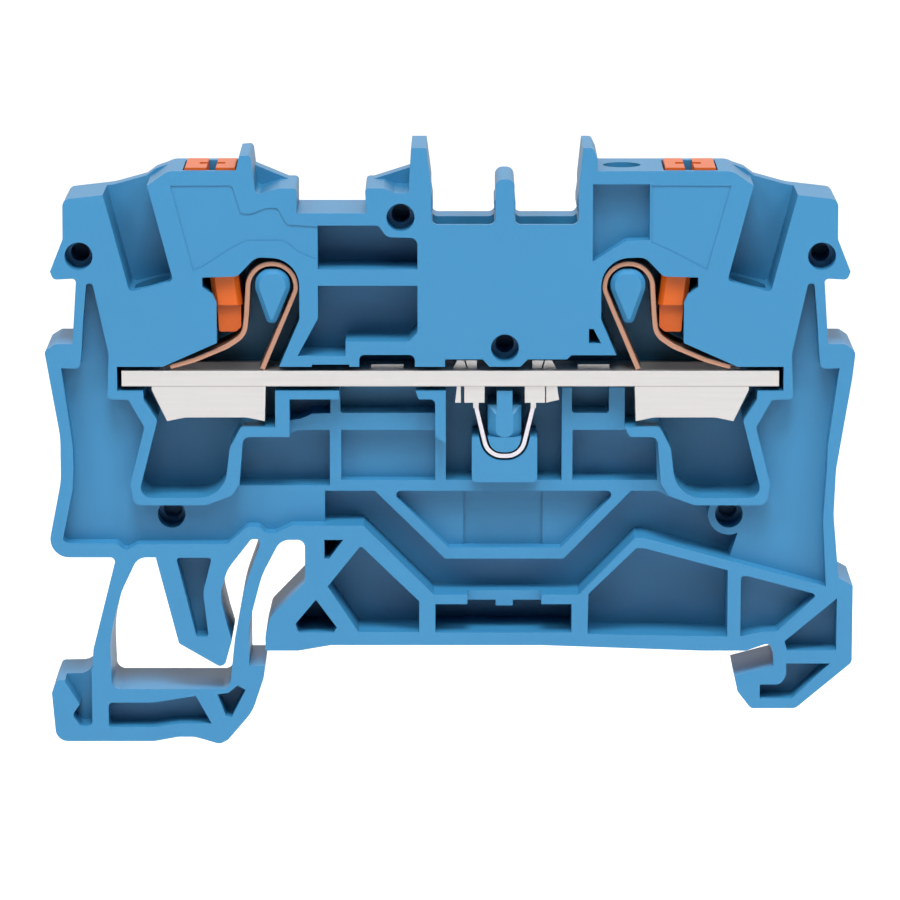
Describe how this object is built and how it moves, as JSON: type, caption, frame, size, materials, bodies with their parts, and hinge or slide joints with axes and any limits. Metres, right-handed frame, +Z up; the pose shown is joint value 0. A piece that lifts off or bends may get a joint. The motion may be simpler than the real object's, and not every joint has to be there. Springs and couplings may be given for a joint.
{
  "type": "feed-through terminal block",
  "caption": "Thin rail-mount terminal block with an open-sided moulded housing, push-in spring clamps, push buttons and a current bar with jumper contacts.",
  "frame": {"origin": "centre line of the mounting rail on its upper face, half-way through the block's width", "axes": "+X along the block, away from the latch foot; +Y along the rail, from the open side to the closed side; +Z up from the rail to the roof"},
  "size_m": [0.0538, 0.0072, 0.0404],
  "materials": {
    "housing": "satin moulded polyamide, blue",
    "current_bar": "tinned copper, satin",
    "clamp_spring": "spring strip, copper toned, satin",
    "push_button": "satin moulded polyamide, orange",
    "jumper_contact_spring": "bright spring steel strip"
  },
  "bodies": {
    "block": {"housing": "housing", "current_bar": "current_bar", "clamp_spring_left": "clamp_spring", "clamp_spring_right": "clamp_spring", "jumper_contact_spring": "jumper_contact_spring"},
    "button_left": {"push_button_left": "push_button"},
    "button_right": {"push_button_right": "push_button"}
  },
  "joints": [
    {"name": "press_left", "type": "slide", "parent": "block", "child": "button_left", "axis": [0.1236, 0, -0.9923], "range_m": [0, 0.0016], "stiffness_N_per_m": 8000, "springref_m": -0.0008, "deforming": ["clamp_spring_left"]},
    {"name": "press_right", "type": "slide", "parent": "block", "child": "button_right", "axis": [-0.1236, 0, -0.9923], "range_m": [0, 0.0016], "stiffness_N_per_m": 8000, "springref_m": -0.0008, "deforming": ["clamp_spring_right"]}
  ]
}
